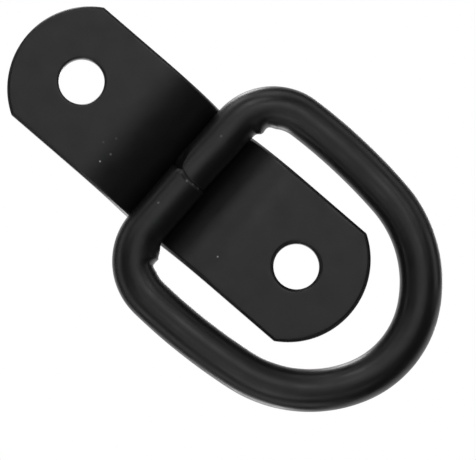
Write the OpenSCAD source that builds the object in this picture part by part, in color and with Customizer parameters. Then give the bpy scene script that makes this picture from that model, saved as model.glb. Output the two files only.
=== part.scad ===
// Bolt-on tie-down: a folded steel strap that holds a round-rod D ring against a vehicle floor or rail.
// The mounting face is z = 0, the strap runs along X, and the origin is midway between the two bolt holes.
// The ring swings about its own straight bar, which lies along Y in the channel of the strap's hump.

/* [Mounting strap] */
// Width of the strap
strap_w = 25.4; // [20:0.2:32]
// Thickness of the strap
strap_t = 3; // [2:0.1:4]
// Distance between the centres of the two bolt holes
bolt_spacing = 50.8; // [48:0.2:70]
// Distance from a hole's centre to the end of its ear
end_margin = 12.85; // [10:0.05:18]
// Radius of the arc that ends each ear
ear_end_r = 14.8; // [13.4:0.1:17]
// Diameter of the bolt holes
hole_d = 8.2; // [5:0.1:10]
// Bevel round the mouth of each hole
hole_bevel = 0.4; // [0.1:0.05:0.8]
// Bevel along the edges of the strap
edge_bevel = 0.35; // [0.1:0.05:0.8]

/* [Hump] */
// Radius of the bend from ear to flank, on the mounting side
foot_r = 16; // [10:0.5:18]
// Straight length of each flank between its two bends
flank_l = 1.3; // [0.5:0.1:4]
// Space between the ring's bar and the channel wall, all round when the bar is centred
channel_gap = 0.5; // [0.3:0.05:1]
// Space left where the bar lies nearest to the channel wall
near_gap = 0.15; // [0.1:0.05:0.3]

/* [D ring] */
// Diameter of the ring's rod
rod_d = 7.7; // [6:0.1:10]
// Height of the resting ring above the mounting face
rest_gap = 0.15; // [0.1:0.05:0.4]
// Space between each side of the strap and the ring
side_gap = 5; // [3:0.1:12]
// Space between the end of the ear and the far bend of the ring
end_gap = 7; // [4:0.1:20]
// Inside radius of the two tight corner bends
corner_in_r = 5.3; // [3:0.1:9]
// Centre-line radius of the ring's gently bowed sides
side_r = 106; // [60:1:200]
// Turn of each side from its widest point to the shoulder bend, in degrees
side_turn = 8; // [4:0.5:12]
// Turn of each shoulder bend, in degrees
shoulder_turn = 54; // [30:1:70]
// Radius of the shoulder bend for each unit of the far bend's radius
shoulder_ease = 1.28; // [1.02:0.02:1.6]

/* [Fold inside the tight bends] */
// Height of the fold that the bending pushes up inside each tight bend
crease_h = 0.9; // [0.3:0.1:1.4]
// Place of the fold along the bend from the end of the bar, in degrees
crease_turn = 28; // [24:1:50]

/* [Butt joint of the ring's rod] */
// Width of the groove between the two rod ends
seam_w = 0.25; // [0.15:0.05:0.5]
// Depth of the groove
seam_depth = 0.35; // [0.2:0.05:0.8]
// Slant of the joint across the bar, in degrees
seam_slant = 30; // [0:1:40]
// Distance of the joint from the middle of the bar
seam_shift = 0.2; // [-3:0.1:3]

/* [Hidden] */
$fn = 96;
coat = [0.13, 0.13, 0.135];

// The ring's bar and the channel over it
rod_r = rod_d / 2;
bar_z = rod_r + rest_gap;
bar_x = channel_gap - near_gap;
channel_r = rod_r + channel_gap;

// The flank is the common tangent of the channel arc and the foot arc, longer than a bare tangent by flank_l
bend_sum = foot_r + channel_r;
flank_reach = sqrt(bend_sum * bend_sum + flank_l * flank_l);
flank_angle = acos((foot_r - bar_z) / flank_reach) - atan(flank_l / bend_sum);
foot_x = bend_sum * sin(flank_angle) + flank_l * cos(flank_angle);

// The ears
hole_x = bolt_spacing / 2;
ear_end_x = hole_x + end_margin;
ear_arc_x = ear_end_x - ear_end_r;
cut_margin = 1;

// Each stretch of strip or rod stops joint_trim short of the next, and a bead a hair prouder blends the two
joint_trim = 0.05;
bead = 0.01;
bead_l = 0.3;

// The ring's centre line, from the middle of its bar: corner, side, shoulder and far bend, tangent in turn
ring_half_w = strap_w / 2 + side_gap + rod_r;
ring_l = ear_end_x - bar_x + end_gap + rod_r;
corner_r = corner_in_r + rod_r;
far_start = 90 - side_turn - shoulder_turn;
side_end = 90 - side_turn;
side_drop = side_r * (1 - cos(side_turn));
shoulder_drop = cos(side_turn) - sin(far_start);
far_r = (ring_half_w - side_drop) / (shoulder_ease * shoulder_drop + sin(far_start));
shoulder_r = shoulder_ease * far_r;
far_c = [ring_l - far_r, 0];
shoulder_c = far_c - (shoulder_r - far_r) * [cos(far_start), sin(far_start)];
side_c = shoulder_c - (side_r - shoulder_r) * [cos(side_end), sin(side_end)];
corner_rise = sqrt(pow(side_r - corner_r, 2) - pow(side_c[0] - corner_r, 2));
corner_c = [corner_r, side_c[1] + corner_rise];
corner_start = 90 + asin((side_c[0] - corner_r) / (side_r - corner_r));

// The fold is a dome narrower than the rod, so that only its top stands out of the bend's inner side
crease_r = 0.68 * rod_r;
crease_reach = corner_in_r - crease_h + crease_r;

// Cross-section of the strap, thickness along x and width along y, with bevelled edges, grown by proud
module strap_section(proud = 0) {
    half_w = strap_w / 2 + proud;
    low = -proud;
    high = strap_t + proud;
    polygon([
        [low + edge_bevel, -half_w],
        [high - edge_bevel, -half_w],
        [high, -half_w + edge_bevel],
        [high, half_w - edge_bevel],
        [high - edge_bevel, half_w],
        [low + edge_bevel, half_w],
        [low, half_w - edge_bevel],
        [low, -half_w + edge_bevel]
    ]);
}

// A flat stretch of the strap, along +X, with its lower face on y = 0
module strap_flat(length, proud = 0) {
    rotate([90, 0, 90]) linear_extrude(length) strap_section(proud);
}

// The blend between two stretches of the strap that meet at a place and a slope
module strap_joint(place, slope) {
    translate(place) rotate([0, 0, slope]) translate([-bead_l / 2, 0]) strap_flat(bead_l, bead);
}

// A bend of the strap about a centre, from one angle through a turn, with its inner face at a radius
module strap_bend(centre, inner_r, from, turn) {
    trim = joint_trim / inner_r * 180 / PI;
    translate(centre) rotate([0, 0, from + trim]) rotate_extrude(angle = turn - 2 * trim)
        translate([inner_r, 0]) strap_section();
}

// The round end of an ear: a flat stretch trimmed by a disc whose rim has the same bevel
module ear_tip() {
    intersection() {
        strap_flat(ear_end_r + cut_margin);
        rotate([-90, 0, 0]) rotate_extrude() polygon([
            [0, 0],
            [ear_end_r - edge_bevel, 0],
            [ear_end_r, edge_bevel],
            [ear_end_r, strap_t - edge_bevel],
            [ear_end_r - edge_bevel, strap_t],
            [0, strap_t]
        ]);
    }
}

// A bolt hole through an ear, along +Y, with both mouths bevelled
module bolt_hole() {
    hole_r = hole_d / 2;
    cone_r = hole_r + 2 * hole_bevel;
    cone_h = 2 * hole_bevel;
    rotate([-90, 0, 0]) {
        translate([0, 0, -cut_margin]) cylinder(r = hole_r, h = strap_t + 2 * cut_margin);
        translate([0, 0, -hole_bevel]) cylinder(r1 = cone_r, r2 = hole_r, h = cone_h);
        translate([0, 0, strap_t - hole_bevel]) cylinder(r1 = hole_r, r2 = cone_r, h = cone_h);
    }
}

// One half of the strap beyond the crown: flank, foot bend, flat ear with its hole, and round end
module strap_half() {
    flank_top = [0, bar_z] + channel_r * [sin(flank_angle), cos(flank_angle)];
    flank_foot = flank_top + flank_l * [cos(flank_angle), -sin(flank_angle)];
    strap_joint(flank_top, -flank_angle);
    translate(flank_top) rotate([0, 0, -flank_angle]) translate([joint_trim, 0])
        strap_flat(flank_l - 2 * joint_trim);
    strap_joint(flank_foot, -flank_angle);
    strap_bend([foot_x, foot_r], foot_r - strap_t, -90 - flank_angle, flank_angle);
    strap_joint([foot_x, 0], 0);
    difference() {
        union() {
            translate([foot_x + joint_trim, 0]) strap_flat(ear_arc_x - foot_x + cut_margin);
            translate([ear_arc_x, 0]) ear_tip();
        }
        translate([hole_x, 0]) bolt_hole();
    }
}

// The whole strap: one strip with a hump in its middle and a bolt hole in each ear
module mounting_strap() {
    color(coat) rotate([90, 0, 0]) union() {
        strap_bend([0, bar_z], channel_r, 90 - flank_angle, 2 * flank_angle);
        strap_half();
        mirror([1, 0, 0]) strap_half();
    }
}

// The blend between two stretches of the ring's rod, at an angle on a bend, with its poles inside the rod
module rod_joint(centre, bend_r, angle) {
    translate(centre) rotate([0, 0, angle]) translate([bend_r, 0]) rotate([90, 0, 0])
        sphere(r = rod_r + bead);
}

// A bend of the ring's rod about a centre, from one angle through a turn, with the blend at its far end
module rod_bend(centre, bend_r, from, turn) {
    trim = joint_trim / bend_r * 180 / PI;
    translate(centre) rotate([0, 0, from + trim]) rotate_extrude(angle = turn - 2 * trim)
        translate([bend_r, 0]) circle(d = rod_d);
    rod_joint(centre, bend_r, from + turn);
}

// The fold that stands up inside a tight bend
module bend_crease() {
    translate(corner_c) rotate([0, 0, 180 - crease_turn]) translate([crease_reach, 0]) sphere(r = crease_r);
}

// Corner, side and shoulder of one side of the ring, each with the blend that leads towards the bar
module ring_side() {
    bend_crease();
    rod_bend(corner_c, corner_r, corner_start, 180 - corner_start);
    rod_bend(side_c, side_r, side_end, corner_start - side_end);
    rod_bend(shoulder_c, shoulder_r, far_start, side_end - far_start);
}

// The slanting groove that is left where the rod's two ends meet
module butt_joint() {
    reach = 2 * rod_d;
    difference() {
        translate([0, seam_shift]) rotate([0, 0, seam_slant]) cube([reach, seam_w, reach], center = true);
        rotate([90, 0, 0]) cylinder(d = rod_d - 2 * seam_depth, h = reach, center = true);
    }
}

// The whole ring: one rod bent to a D, with its straight bar along Y
module d_ring() {
    color(coat) translate([bar_x, 0, bar_z]) union() {
        difference() {
            rotate([90, 0, 0]) cylinder(d = rod_d, h = 2 * (corner_c[1] - joint_trim), center = true);
            butt_joint();
        }
        ring_side();
        mirror([0, 1, 0]) ring_side();
        rod_bend(far_c, far_r, -far_start, 2 * far_start);
        rod_joint(far_c, far_r, -far_start);
    }
}

mounting_strap();
d_ring();
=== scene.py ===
import math

import bmesh
import bpy
import numpy as np
from mathutils import Matrix, Vector


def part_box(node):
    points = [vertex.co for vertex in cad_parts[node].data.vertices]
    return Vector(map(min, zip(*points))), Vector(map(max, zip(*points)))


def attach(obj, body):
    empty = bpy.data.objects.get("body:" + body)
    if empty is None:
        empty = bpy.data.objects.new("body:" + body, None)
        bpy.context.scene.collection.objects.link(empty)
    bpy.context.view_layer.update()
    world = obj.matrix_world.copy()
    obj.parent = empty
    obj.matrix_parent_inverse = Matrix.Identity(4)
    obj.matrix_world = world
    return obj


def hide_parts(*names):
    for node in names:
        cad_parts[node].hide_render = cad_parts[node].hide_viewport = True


# A bolt-on tie-down: a folded steel strap that hinges a D ring of round rod, both in a satin black coat.
# The frame is the part's own: the ears lie on z = 0, the hump rises along +Z and the ring's bar lies along Y.
# The camera looks up at the side that is bolted down, so the floor is seen only from above.
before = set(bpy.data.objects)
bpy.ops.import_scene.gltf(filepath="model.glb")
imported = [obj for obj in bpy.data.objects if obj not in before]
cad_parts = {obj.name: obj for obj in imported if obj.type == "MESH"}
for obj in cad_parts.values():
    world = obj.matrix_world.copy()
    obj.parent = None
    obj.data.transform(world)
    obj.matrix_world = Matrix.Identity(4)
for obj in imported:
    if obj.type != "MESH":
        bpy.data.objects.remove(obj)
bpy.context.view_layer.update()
print("frame loaded with", len(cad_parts), "nodes")

mm = 0.001


# Index quads of a grid of points: corner (i, j) of a quad joins rows i, i + 1 and columns j, j + 1.
def patchFaces(points, closeRows, closeColumns):
    rows, columns = points.shape[:2]
    index = np.arange(rows * columns).reshape(rows, columns)
    if closeRows:
        index = np.vstack([index, index[:1]])
    if closeColumns:
        index = np.hstack([index, index[:, :1]])
    quads = [index[:-1, :-1], index[1:, :-1], index[1:, 1:], index[:-1, 1:]]
    return np.stack(quads, axis=-1).reshape(-1, 4)


# One closed piece from patches of (points in mm, closeRows, closeColumns) that share their border points.
def makePiece(name, patches, material):
    points, faces, count = [], [], 0
    for grid, closeRows, closeColumns in patches:
        points.append(grid.reshape(-1, 3) * mm)
        faces.append(patchFaces(grid, closeRows, closeColumns) + count)
        count += grid.shape[0] * grid.shape[1]
    mesh = bpy.data.meshes.new(name)
    mesh.from_pydata(np.concatenate(points).tolist(), [], np.concatenate(faces).tolist())
    shell = bmesh.new()
    shell.from_mesh(mesh)
    bmesh.ops.remove_doubles(shell, verts=shell.verts, dist=0.0005 * mm)
    bmesh.ops.recalc_face_normals(shell, faces=shell.faces)
    openEdges = sum(not edge.is_manifold for edge in shell.edges)
    shell.to_mesh(mesh)
    shell.free()
    mesh.shade_smooth()
    mesh.materials.append(material)
    piece = bpy.data.objects.new(name, mesh)
    bpy.context.scene.collection.objects.link(piece)
    print(name, "has", len(mesh.polygons), "faces and", openEdges, "open edges")
    return piece


# Smooth step: 0 before low, 1 after high, and 3 t^2 - 2 t^3 between them.
def easeStep(value, low, high):
    t = np.clip((value - low) / (high - low), 0, 1)
    return t * t * (3 - 2 * t)


# Running total of a sampled function by the trapezium rule, starting at 0.
def runningTotal(values, step):
    return np.concatenate([[0], np.cumsum((values[1:] + values[:-1]) / 2) * step])


# A line that bends in stretches of (length, curvature). The heading is the running turn, eased by a moving
# average as long as ease, and the place is its running total: x = sum of cos, y = sum of sin.
def bentLine(stretches, ease, step=0.01):
    lengths, bends = np.array(stretches).T
    ends = np.concatenate([[-ease, 0], np.cumsum(lengths), [lengths.sum() + ease]])
    turns = np.concatenate([[-ease * bends[0], 0], np.cumsum(lengths * bends)])
    turns = np.append(turns, turns[-1] + ease * bends[-1])
    margin = int(ease / step / 2)
    count = int(lengths.sum() / step) + 1
    along = np.linspace(0, lengths.sum(), count)
    step = along[1]
    wide = np.arange(-margin, count + margin) * step
    window = np.full(2 * margin + 1, 1 / (2 * margin + 1))
    heading = np.convolve(np.interp(wide, ends, turns), window, mode="valid")
    return along, heading, runningTotal(np.cos(heading), step), runningTotal(np.sin(heading), step)


# Rim of a plate from its lower face to its upper face, as (gap from the rim, depth in the plate). The lower
# rim is a bent line: a soft roll up to a tilt, a bevel, and a turn into the wall. The upper rim is a quarter
# ellipse of reach and drop.
def rimProfile(thickness, roll, highReach, highDrop, count=11, wall=5):
    rollTurn, bevelTurn = math.radians(roll["tilt"]), math.radians(roll["bevelTilt"])
    tight = roll["edgeRadius"]
    turns = [
        (roll["radius"] * rollTurn, 1 / roll["radius"]),
        (tight * (bevelTurn - rollTurn), 1 / tight),
        (roll["bevel"], 0),
        (tight * (math.pi / 2 - bevelTurn), 1 / tight),
    ]
    along, heading, inward, down = bentLine(turns, 0.04, 0.002)
    pick = np.interp(np.linspace(0, 1, 2 * count), np.linspace(0, 1, len(along)), np.arange(len(along))).astype(int)
    lowGap, lowDepth = inward[-1] - inward[pick], down[pick]
    level = np.linspace(lowDepth[-1], thickness - highDrop, wall)[1:-1]
    turn = np.linspace(0, math.pi / 2, count)
    gap = [lowGap, 0 * level, highReach * (1 - np.cos(turn))]
    depth = [lowDepth, level, thickness - highDrop * (1 - np.sin(turn))]
    return np.concatenate(gap), np.concatenate(depth)


# Satin black coat. Object coordinates carry a slow mottling of colour and gloss, the orange peel of the
# coat and its fine grain, and small pale nibs at chosen places.
coat = {
    "colour": 0.005,          # grey level of the pigment
    "mottling": 0.25,         # share by which the colour wanders
    "roughness": 0.36,
    "roughnessWander": 0.07,
    "mottleSize": 5.0,        # mm
    "peelSize": 1.6,          # mm
    "peelDepth": 0.014,       # mm
    "grainSize": 0.22,        # mm
    "grainDepth": 0.0022,     # mm
    "nibHeight": 0.03,        # mm, of a nib of full strength
    "nibColour": 0.45,
}


def addNode(tree, kind, **settings):
    node = tree.nodes.new(kind)
    for key, value in settings.items():
        setattr(node, key, value)
    return node


def noiseAt(tree, coordinates, size, detail, roughness=0.5):
    noise = addNode(tree, "ShaderNodeTexNoise")
    noise.inputs["Scale"].default_value = 1 / (size * mm)
    noise.inputs["Detail"].default_value = detail
    noise.inputs["Roughness"].default_value = roughness
    tree.links.new(coordinates, noise.inputs["Vector"])
    return noise.outputs["Fac"]


def rangeOf(tree, value, fromLow, fromHigh, toLow, toHigh):
    spread = addNode(tree, "ShaderNodeMapRange")
    for key, number in zip(("From Min", "From Max", "To Min", "To Max"), (fromLow, fromHigh, toLow, toHigh)):
        spread.inputs[key].default_value = number
    tree.links.new(value, spread.inputs["Value"])
    return spread.outputs["Result"]


def mathOf(tree, operation, first, second):
    node = addNode(tree, "ShaderNodeMath", operation=operation)
    for socket, value in zip(node.inputs, (first, second)):
        if isinstance(value, (int, float)):
            socket.default_value = value
        else:
            tree.links.new(value, socket)
    return node.outputs["Value"]


# Each nib is (x, y, z, strength, size): strength in its middle, falling to 0 at its edge as
# 1 - distance / size. Where nibs meet, the highest counts.
def nibsAt(tree, coordinates, nibs):
    height = None
    for *place, strength, size in nibs:
        reach = addNode(tree, "ShaderNodeVectorMath", operation="DISTANCE")
        reach.inputs[1].default_value = Vector(place) * mm
        tree.links.new(coordinates, reach.inputs[0])
        dome = rangeOf(tree, reach.outputs["Value"], 0, size * mm, strength, 0)
        height = dome if height is None else mathOf(tree, "MAXIMUM", height, dome)
    return height


def coatMaterial(name, nibs):
    material = bpy.data.materials.new(name)
    material.use_nodes = True
    tree = material.node_tree
    shader = tree.nodes["Principled BSDF"]
    coordinates = addNode(tree, "ShaderNodeTexCoord").outputs["Object"]
    mottle = noiseAt(tree, coordinates, coat["mottleSize"], 3)
    peel = noiseAt(tree, coordinates, coat["peelSize"], 2)
    grain = noiseAt(tree, coordinates, coat["grainSize"], 2, 0.6)
    nib = nibsAt(tree, coordinates, nibs)

    low = coat["colour"] * (1 - coat["mottling"])
    high = coat["colour"] * (1 + coat["mottling"])
    pigment = rangeOf(tree, mottle, 0.3, 0.7, low, high)
    shade = mathOf(tree, "MAXIMUM", pigment, mathOf(tree, "MULTIPLY", nib, coat["nibColour"]))
    colour = addNode(tree, "ShaderNodeCombineColor")
    for channel in ("Red", "Green", "Blue"):
        tree.links.new(shade, colour.inputs[channel])
    tree.links.new(colour.outputs["Color"], shader.inputs["Base Color"])
    wander = coat["roughnessWander"]
    gloss = rangeOf(tree, mottle, 0.3, 0.7, coat["roughness"] + wander, coat["roughness"] - wander)
    tree.links.new(gloss, shader.inputs["Roughness"])

    peelHeight = mathOf(tree, "MULTIPLY", peel, coat["peelDepth"])
    grainHeight = mathOf(tree, "MULTIPLY", grain, coat["grainDepth"])
    nibHeight = mathOf(tree, "MULTIPLY", nib, coat["nibHeight"])
    height = mathOf(tree, "ADD", mathOf(tree, "ADD", peelHeight, grainHeight), nibHeight)
    bump = addNode(tree, "ShaderNodeBump")
    bump.inputs["Distance"].default_value = mm
    tree.links.new(height, bump.inputs["Height"])
    tree.links.new(bump.outputs["Normal"], shader.inputs["Normal"])
    shader.inputs["IOR"].default_value = 1.47
    return material


# Mounting strap: one strip, first laid out flat as (along, across, depth) and then folded.
strap = {
    "width": 25.4,
    "thickness": 3.0,
    "holeSpacing": 50.8,
    "holeDiameter": 8.2,
    "endRadius": 14.8,        # arc that ends each ear
    "cornerRadius": 0.4,      # where the arc meets the straight sides
    "cornerLeast": 0.05,
    "channelRadius": 4.35,    # inside of the hump
    "flankLength": 1.3,
    "footRadius": 16.0,       # bend from flank to ear
    "bendEase": 0.8,          # length over which a bend sets in
    # Rims of the mounting face: roll radius and tilt, bevel and tilt, and the radius of the last turn. The
    # ear that the resting ring surrounds is dressed further than the free one.
    "nearRim": {"radius": 0.6, "tilt": 30, "bevel": 0.78, "bevelTilt": 57, "edgeRadius": 0.08},
    "freeRim": {"radius": 0.65, "tilt": 32, "bevel": 0.42, "bevelTilt": 59, "edgeRadius": 0.08},
    "nearMouth": {"radius": 0.6, "tilt": 25, "bevel": 0.66, "bevelTilt": 49, "edgeRadius": 0.08},
    "freeMouth": {"radius": 0.6, "tilt": 30, "bevel": 0.3, "bevelTilt": 62, "edgeRadius": 0.08},
    "backReach": 0.4,         # rim of the other face
    "backDrop": 0.35,
    # Specks in the coat of the mounting face: x, y, strength and size.
    "nibs": (
        (-13.5, 8.7, 1, 0.22),
        (-12.9, 6.5, 0.25, 0.3),
        (13.6, 7.9, 0.8, 0.22),
        (-15.3, 5.7, 0.12, 0.3),
        (-14.0, 3.7, 0.12, 0.3),
    ),
}
strapLow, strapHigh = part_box("mounting_strap")
ringLow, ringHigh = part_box("d_ring")
rodRadius = (ringHigh[2] - ringLow[2]) / 2 / mm
barHeight = (ringHigh[2] + ringLow[2]) / 2 / mm
barX = ringLow[0] / mm + rodRadius

# The flank is the common tangent of channel and foot, longer than a bare tangent by its own length.
bendSum = strap["footRadius"] + strap["channelRadius"]
flankReach = math.hypot(bendSum, strap["flankLength"])
flankTurn = math.acos((strap["footRadius"] - barHeight) / flankReach)
flankTurn -= math.atan(strap["flankLength"] / bendSum)
foldStretches = [
    (strap["channelRadius"] * flankTurn, 1 / strap["channelRadius"]),
    (strap["flankLength"], 0),
    (strap["footRadius"] * flankTurn, -1 / strap["footRadius"]),
    (30, 0),
]
foldAlong, foldSlope, foldX, foldDrop = bentLine(foldStretches, strap["bendEase"])
foldZ = foldDrop[-1] - foldDrop
earStart = sum(stretch[0] for stretch in foldStretches[:3]) + strap["bendEase"]
earShift = np.interp(earStart, foldAlong, foldX) - earStart
holeAlong = strap["holeSpacing"] / 2 - earShift
endAlong = strapHigh[0] / mm - earShift


# Folds flat points: the place on the mounting face's line at |along|, plus depth times its normal,
# which is (sin, cos) of the slope, mirrored in x for the other half.
def foldStrip(along, across, depth):
    side = np.where(along < 0, -1, 1)
    slope = np.interp(np.abs(along), foldAlong, foldSlope)
    x = side * (np.interp(np.abs(along), foldAlong, foldX) + depth * np.sin(slope))
    z = np.interp(np.abs(along), foldAlong, foldZ) + depth * np.cos(slope)
    return np.stack(np.broadcast_arrays(x, across, z), axis=-1)


# Outline of an ear from one side round its end to the other, inset by each gap of an array: points by gaps.
# One half is a straight run, a corner arc and the end arc, tangent in turn, each arc being centre + radius
# (cos, sin). The other half is its mirror image. A corner smaller than its gap stays nearly sharp.
def earOutline(gap, runCount=48, cornerCount=9, endCount=42):
    gap = np.atleast_1d(gap)[None]
    half, endRadius = strap["width"] / 2 - gap, strap["endRadius"] - gap
    corner = np.maximum(strap["cornerRadius"] - gap, strap["cornerLeast"])
    arcCentre = endAlong - strap["endRadius"]
    cornerCentre = arcCentre + np.sqrt((endRadius - corner) ** 2 - (half - corner) ** 2)
    cornerTurn = np.arctan2(half - corner, cornerCentre - arcCentre)
    run = earStart + np.linspace(0, 1, runCount)[:-1, None] * (cornerCentre - earStart)
    tight = math.pi / 2 + np.linspace(0, 1, cornerCount)[:-1, None] * (cornerTurn - math.pi / 2)
    wide = cornerTurn * np.linspace(1, 0, endCount)[:, None]
    x = np.concatenate([run, cornerCentre + corner * np.cos(tight), arcCentre + endRadius * np.cos(wide)])
    y = np.concatenate([half + 0 * run, half - corner + corner * np.sin(tight), endRadius * np.sin(wide)])
    return np.stack([np.concatenate([x, x[-2::-1]]), np.concatenate([y, -y[-2::-1]])], axis=-1)


# Patches of the strap: the folded middle as a grid of along by across, and each ear as rings that grow
# from its hole to its outline, rim = hole circle + share (outline - hole circle).
def strapPatches():
    half, thickness = strap["width"] / 2, strap["thickness"]
    nearRim, freeRim, nearMouth, freeMouth = (
        np.array(rimProfile(thickness, strap[name], strap["backReach"], strap["backDrop"]))
        for name in ("nearRim", "freeRim", "nearMouth", "freeMouth")
    )
    level = np.linspace(-1, 1, 49)
    along = np.linspace(-earStart, earStart, 181)[:, None]
    nearShare = easeStep(along, -earStart, earStart)
    rimGap, rimDepth = (free + nearShare * (near - free) for near, free in zip(nearRim[:, None], freeRim[:, None]))
    patches = [
        (foldStrip(along, level * (half - rimGap[:, :1]), 0), False, False),
        (foldStrip(along, level[None] * (half - strap["backReach"]), thickness), False, False),
        (foldStrip(along, half - rimGap, rimDepth), False, False),
        (foldStrip(along, rimGap - half, rimDepth), False, False),
    ]
    hole = np.array([holeAlong, 0])
    share = np.linspace(0, 1, 15)[None, :, None]
    for side, (rimGap, rimDepth), (holeGap, holeDepth) in ((-1, freeRim, freeMouth), (1, nearRim, nearMouth)):
        rim = earOutline(rimGap)
        patches.append((foldStrip(side * rim[..., 0], rim[..., 1], rimDepth[None]), False, False))
        turn = None
        for reach, holeReach, depth in (
            (rimGap[0], holeGap[0], 0),
            (strap["backReach"], strap["backReach"], thickness),
        ):
            inner = np.stack([0 * level + earStart, level * (half - reach)], axis=-1)
            border = np.concatenate([inner, earOutline(reach)[1:-1, 0]])
            if turn is None:
                turn = np.arctan2(border[:, 1], border[:, 0] - holeAlong)
            spoke = np.stack([np.cos(turn), np.sin(turn)], axis=-1)
            circle = hole + spoke * (strap["holeDiameter"] / 2 + holeReach)
            face = circle[:, None] + share * (border - circle)[:, None]
            patches.append((foldStrip(side * face[..., 0], face[..., 1], depth), True, False))
        wall = hole + spoke[:, None] * (strap["holeDiameter"] / 2 + holeGap)[None, :, None]
        patches.append((foldStrip(side * wall[..., 0], wall[..., 1], holeDepth[None]), True, False))
    return patches


# D ring: one rod bent to a D, its ends butted in the middle of the bar.
ring = {
    "cornerInside": 5.3,      # inside radius of the two tight bends
    "sideRadius": 106.0,
    "sideTurn": 8.0,          # degrees, from the widest point to the shoulder
    "shoulderTurn": 54.0,     # degrees
    "shoulderEase": 1.28,     # shoulder radius for each unit of the far bend's
    "bendEase": 2.0,
    "aroundCount": 96,
    "spacing": 0.3,           # between sections
    "fineSpacing": 0.1,       # between sections at the joint and the tight bends
    # Inside each tight bend the rod is folded up and then dented: height, dent, and the degrees of the bend
    # between which the fold rises, falls into the dent and comes out of it.
    "creases": ((-1, 0.42, 0.33, 12, 24, 25, 41, 56), (1, 0.64, 0.26, 0, 24, 35, 49, 64)),
    "jointPlace": 0.65,       # along the bar
    "jointDepth": 0.25,
    "jointWidth": 0.1,
    "notchDepth": 1.0,        # at the side where the rod end is cut off slantwise
    "notchWidth": 2.5,
    "lipHeight": 0.12,
    "lipOffset": 0.32,
    "endShift": 0.2,          # by which the two rod ends miss each other
    # Specks in the coat of the bar: x from its middle, y, strength and size.
    "nibs": (
        (-0.4, -8.9, 0.2, 0.3),
        (-1.1, 7.5, 0.25, 0.3),
        (0.2, 1.2, 0.3, 0.3),
        (1.4, 0.95, 0.15, 0.3),
        (2.5, 0.8, 0.2, 0.35),
        (-2.3, 0.72, 0.1, 0.5),
        (-1.6, 0.68, 0.1, 0.5),
    ),
}


def ringStretches():
    sideTurn, shoulderTurn = math.radians(ring["sideTurn"]), math.radians(ring["shoulderTurn"])
    halfWidth = (ringHigh[1] - ringLow[1]) / 2 / mm - rodRadius
    length = (ringHigh[0] - ringLow[0]) / mm - 2 * rodRadius
    corner = ring["cornerInside"] + rodRadius
    farStart = math.pi / 2 - sideTurn - shoulderTurn
    sideEnd = math.pi / 2 - sideTurn
    sideDrop = ring["sideRadius"] * (1 - math.cos(sideTurn))
    shoulderDrop = math.cos(sideTurn) - math.sin(farStart)
    farRadius = (halfWidth - sideDrop) / (ring["shoulderEase"] * shoulderDrop + math.sin(farStart))
    shoulderRadius = ring["shoulderEase"] * farRadius
    shoulderX = length - farRadius - (shoulderRadius - farRadius) * math.cos(farStart)
    shoulderY = -(shoulderRadius - farRadius) * math.sin(farStart)
    sideX = shoulderX - (ring["sideRadius"] - shoulderRadius) * math.cos(sideEnd)
    sideY = shoulderY - (ring["sideRadius"] - shoulderRadius) * math.sin(sideEnd)
    cornerY = sideY + math.sqrt((ring["sideRadius"] - corner) ** 2 - (sideX - corner) ** 2)
    cornerStart = math.pi / 2 + math.asin((sideX - corner) / (ring["sideRadius"] - corner))
    return cornerY, corner, [
        (cornerY, 0),
        (corner * (math.pi - cornerStart), 1 / corner),
        (ring["sideRadius"] * (cornerStart - sideEnd), 1 / ring["sideRadius"]),
        (shoulderRadius * shoulderTurn, 1 / shoulderRadius),
        (farRadius * farStart, 1 / farRadius),
    ]


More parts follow.
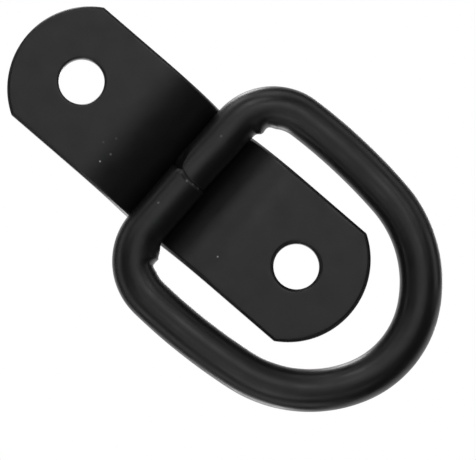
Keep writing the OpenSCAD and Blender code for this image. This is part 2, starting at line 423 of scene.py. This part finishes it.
# The rod: centre line + radius (cos around outward + sin around up). The radius carries the crease
# inside each tight bend and the groove, lip and step of the butt joint.
def ringPatches():
    barHalf, corner, stretches = ringStretches()
    lineAlong, lineHeading, lineY, lineX = bentLine(stretches, ring["bendEase"])
    lineY = lineY - lineY[-1] * lineAlong / lineAlong[-1]
    halfLap = lineAlong[-1]
    fine = (lineAlong < 4.5) | (np.abs(lineAlong - barHalf - 4) < 6)
    density = runningTotal(np.where(fine, 1 / ring["fineSpacing"], 1 / ring["spacing"]), lineAlong[1])
    half = np.interp(np.linspace(0, density[-1], int(density[-1])), density, lineAlong)
    along = np.concatenate([half, -half[-2:0:-1]])[:, None]
    side = np.where(along < 0, -1, 1)
    heading = np.interp(np.abs(along), lineAlong, lineHeading)
    centreX = np.interp(np.abs(along), lineAlong, lineX)
    centreY = side * np.interp(np.abs(along), lineAlong, lineY)
    outX, outY = -np.cos(heading), side * np.sin(heading)
    around = np.linspace(0, 2 * math.pi, ring["aroundCount"], endpoint=False)[None]

    bend = np.degrees((np.abs(along) - barHalf) / corner)
    inward = np.clip(-np.cos(around), 0, 1) ** 3
    radius = rodRadius + 0 * along * around
    for end, height, dent, riseStart, riseEnd, fallStart, fallEnd, dentEnd in ring["creases"]:
        fall = easeStep(bend, fallStart, fallEnd)
        crease = height * easeStep(bend, riseStart, riseEnd) * (1 - fall)
        crease = crease - dent * fall * (1 - easeStep(bend, fallEnd, dentEnd))
        radius = radius + np.where(side == end, crease, 0) * inward

    # Towards -X the joint leans and opens into a notch, on the side that faces the mounting plane.
    outward = rodRadius * np.cos(around)
    lean = 0.55 * easeStep(outward, 0.2, 2.1)
    opening = easeStep(outward, 1.7, 3.6) * easeStep(-np.sin(around), -0.4, 0.3)
    across = along - ring["jointPlace"] + lean
    width = ring["jointWidth"] + np.where(across < 0, ring["notchWidth"], 0.4) * opening
    depth = ring["jointDepth"] + (ring["notchDepth"] - ring["jointDepth"]) * opening
    groove = -depth / (1 + (across / width) ** 4)
    lip = ring["lipHeight"] * np.exp(-(((across - ring["lipOffset"]) / 0.18) ** 2))
    onBar = 1 - easeStep(np.abs(along), 5, 7)
    radius = radius + onBar * (groove + lip)
    slip = ring["endShift"] * (1 - easeStep(across, -0.08, 0.08)) * (1 - easeStep(-along, 2, 8))
    centreX = centreX - np.where(onBar > 0, slip, 0)
    x = barX + centreX + radius * np.cos(around) * outX
    y = centreY + radius * np.cos(around) * outY
    z = barHeight + radius * np.sin(around)
    return [(np.stack([x, y, z], axis=-1), True, True)]


strapNibs = [(x, y, np.interp(abs(x), foldX, foldZ), *spread) for x, y, *spread in strap["nibs"]]
ringNibs = [(barX + x, y, barHeight - math.sqrt(rodRadius ** 2 - x ** 2), *spread) for x, y, *spread in ring["nibs"]]
strapCoat = coatMaterial("strapSatinBlack", strapNibs)
ringCoat = coatMaterial("ringSatinBlack", ringNibs)

strapPiece = makePiece("folded_strap", strapPatches(), strapCoat)
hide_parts("mounting_strap")
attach(strapPiece, "strap")

ringPiece = makePiece("bent_ring", ringPatches(), ringCoat)
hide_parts("d_ring")
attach(ringPiece, "ring")
print("pieces made")


# Camera below the mounting face, as the photo shows that side.
view = {
    "place": (43.30, 52.15, -1000.0),    # mm
    "target": (13.24, 1.90, 0.0),
    "up": (-0.6528, -0.7576, 0.0),
    "lens": 423.53,
    "sensor": 36.0,
}


def placeCamera():
    camera = bpy.data.cameras.new("viewer")
    camera.lens = view["lens"]
    camera.sensor_width = view["sensor"]
    camera.clip_start = 0.05
    holder = bpy.data.objects.new("viewer", camera)
    bpy.context.scene.collection.objects.link(holder)
    forward = (Vector(view["target"]) - Vector(view["place"])).normalized()
    right = forward.cross(Vector(view["up"])).normalized()
    up = right.cross(forward)
    turn = Matrix((right, up, -forward)).transposed().to_4x4()
    holder.matrix_world = Matrix.Translation(Vector(view["place"]) * mm) @ turn
    bpy.context.scene.camera = holder


placeCamera()

# Studio: soft round lamps on a sphere round the part. Tilt is counted from straight below, where the camera
# is, and turn from the picture's right towards its top, both in degrees. Radiance 1 looks white in a mirror.
studio = {
    "distance": 800,          # mm
    "width": 320,
    "lamps": {
        "centre": (0, 0, 0.67),
        "nearRight": (22, 0, 0.9),
        "nearTop": (22, 60, 2.18),
        "nearTopLeft": (22, 120, 1.22),
        "nearBottom": (22, 240, 1.36),
        "sideRight": (47, 36, 1.69),
        "sideTop": (47, 108, 2.7),
        "sideTopLeft": (47, 144, 1.02),
        "sideLeft": (47, 216, 0.52),
        "sideBottom": (47, 252, 2.36),
        "sideBottomRight": (47, 288, 0.65),
        "lowTop": (73, 90, 1.11),
        "rimTop": (97, 120, 1.8),
        "overTop": (133, 108, 5.2),
        "overBottom": (133, 252, 4.4),
        "overhead": (165, 30, 4.0),
    },
    "ambient": 0.35,
    "domeRadius": 1500,
    # Dark zones: from and to in degrees from straight below, and from and to round the part from +X.
    "darkZones": ((0, 75, 0, 360), (98, 130, 38, 322), (75, 104, -38, 38)),
    "floorRadius": 700,
    "floorFade": (0.35, 0.95),  # share of the radius over which the floor fades into the white
    "floorColour": 0.9,
    "floorDrop": 0.1,
}


def addLamp(name, tilt, turn, radiance):
    tilt, turn = math.radians(tilt), math.radians(turn)
    up = Vector(view["up"])
    right = Vector((0, 0, 1)).cross(up)
    aim = math.sin(tilt) * (math.cos(turn) * right + math.sin(turn) * up) - math.cos(tilt) * Vector((0, 0, 1))
    lamp = bpy.data.lights.new(name, "AREA")
    lamp.shape = "DISK"
    lamp.size = studio["width"] * mm
    lamp.energy = radiance * math.pi * (math.pi / 4 * lamp.size ** 2)
    holder = bpy.data.objects.new(name, lamp)
    holder.location = aim * studio["distance"] * mm
    holder.rotation_euler = aim.to_track_quat("Z", "Y").to_euler()
    holder.visible_camera = False
    bpy.context.scene.collection.objects.link(holder)


for lampName, lampSettings in studio["lamps"].items():
    addLamp(lampName, *lampSettings)


# A stage surface from a grid of points in mm.
def makeStage(name, points, material):
    mesh = bpy.data.meshes.new(name)
    mesh.from_pydata((points.reshape(-1, 3) * mm).tolist(), [], patchFaces(points, False, False).tolist())
    mesh.shade_smooth()
    mesh.materials.append(material)
    stage = bpy.data.objects.new(name, mesh)
    bpy.context.scene.collection.objects.link(stage)
    return stage


def domeMaterial():
    material = bpy.data.materials.new("studioBlack")
    material.use_nodes = True
    shader = material.node_tree.nodes["Principled BSDF"]
    shader.inputs["Base Color"].default_value = (0, 0, 0, 1)
    shader.inputs["Specular IOR Level"].default_value = 0
    return material


# Matt floor, clear from below and clear again towards its edge, so that it ends in the white world.
def floorMaterial():
    material = bpy.data.materials.new("paleFloor")
    material.use_nodes = True
    tree = material.node_tree
    tree.nodes.clear()
    coordinates = addNode(tree, "ShaderNodeTexCoord").outputs["Object"]
    reach = addNode(tree, "ShaderNodeVectorMath", operation="LENGTH")
    tree.links.new(coordinates, reach.inputs[0])
    fadeStart, fadeEnd = (share * studio["floorRadius"] * mm for share in studio["floorFade"])
    fade = rangeOf(tree, reach.outputs["Value"], fadeStart, fadeEnd, 0, 1)
    side = addNode(tree, "ShaderNodeNewGeometry").outputs["Backfacing"]
    matt = addNode(tree, "ShaderNodeBsdfDiffuse")
    grey = studio["floorColour"]
    matt.inputs["Color"].default_value = (grey, grey, grey, 1)
    clear = addNode(tree, "ShaderNodeBsdfTransparent")
    mix = addNode(tree, "ShaderNodeMixShader")
    tree.links.new(mathOf(tree, "MAXIMUM", fade, side), mix.inputs["Fac"])
    tree.links.new(matt.outputs["BSDF"], mix.inputs[1])
    tree.links.new(clear.outputs["BSDF"], mix.inputs[2])
    output = addNode(tree, "ShaderNodeOutputMaterial")
    tree.links.new(mix.outputs["Shader"], output.inputs["Surface"])
    return material


# Dark zones of the studio, which leave a white band at the horizon and a white ceiling for the coat to
# reflect: radius (sin tilt cos turn, sin tilt sin turn, -cos tilt).
def buildStage():
    for number, (low, high, start, end) in enumerate(studio["darkZones"]):
        tilt = np.radians(np.linspace(max(low, 0.1), high, 24))[:, None]
        turn = np.radians(np.linspace(start, end, 65))[None]
        ball = [np.sin(tilt) * np.cos(turn), np.sin(tilt) * np.sin(turn), -np.cos(tilt) + 0 * turn]
        points = studio["domeRadius"] * np.stack(ball, axis=-1)
        dome = makeStage("studio_dark_" + str(number + 1), points, domeMaterial())
        dome.visible_camera = False
        dome.visible_diffuse = False
        dome.visible_shadow = False
    turn = np.linspace(0, 2 * math.pi, 65)[None]
    reach = np.linspace(0.001, 1, 12)[:, None] * studio["floorRadius"]
    disc = np.stack([reach * np.cos(turn), reach * np.sin(turn), 0 * reach * turn - studio["floorDrop"]], axis=-1)
    floor = makeStage("studio_floor", disc, floorMaterial())
    floor.visible_diffuse = False
    floor.visible_glossy = False
    floor.visible_transmission = False
    floor.visible_shadow = False


buildStage()


# World: white for what the camera and the coat's gloss see, a soft grey as fill.
def buildWorld(fill):
    world = bpy.data.worlds.new("studio")
    world.use_nodes = True
    bpy.context.scene.world = world
    tree = world.node_tree
    tree.nodes.clear()
    path = addNode(tree, "ShaderNodeLightPath")
    shows = mathOf(tree, "MAXIMUM", path.outputs["Is Camera Ray"], path.outputs["Is Glossy Ray"])
    shows = mathOf(tree, "MAXIMUM", shows, path.outputs["Is Transmission Ray"])
    ambient = addNode(tree, "ShaderNodeBackground")
    ambient.inputs["Color"].default_value = (fill, fill, fill, 1)
    white = addNode(tree, "ShaderNodeBackground")
    white.inputs["Color"].default_value = (1, 1, 1, 1)
    mix = addNode(tree, "ShaderNodeMixShader")
    tree.links.new(shows, mix.inputs["Fac"])
    tree.links.new(ambient.outputs["Background"], mix.inputs[1])
    tree.links.new(white.outputs["Background"], mix.inputs[2])
    output = addNode(tree, "ShaderNodeOutputWorld")
    tree.links.new(mix.outputs["Shader"], output.inputs["Surface"])


buildWorld(studio["ambient"])

bpy.context.scene.view_settings.view_transform = "Standard"

print("scene ready")
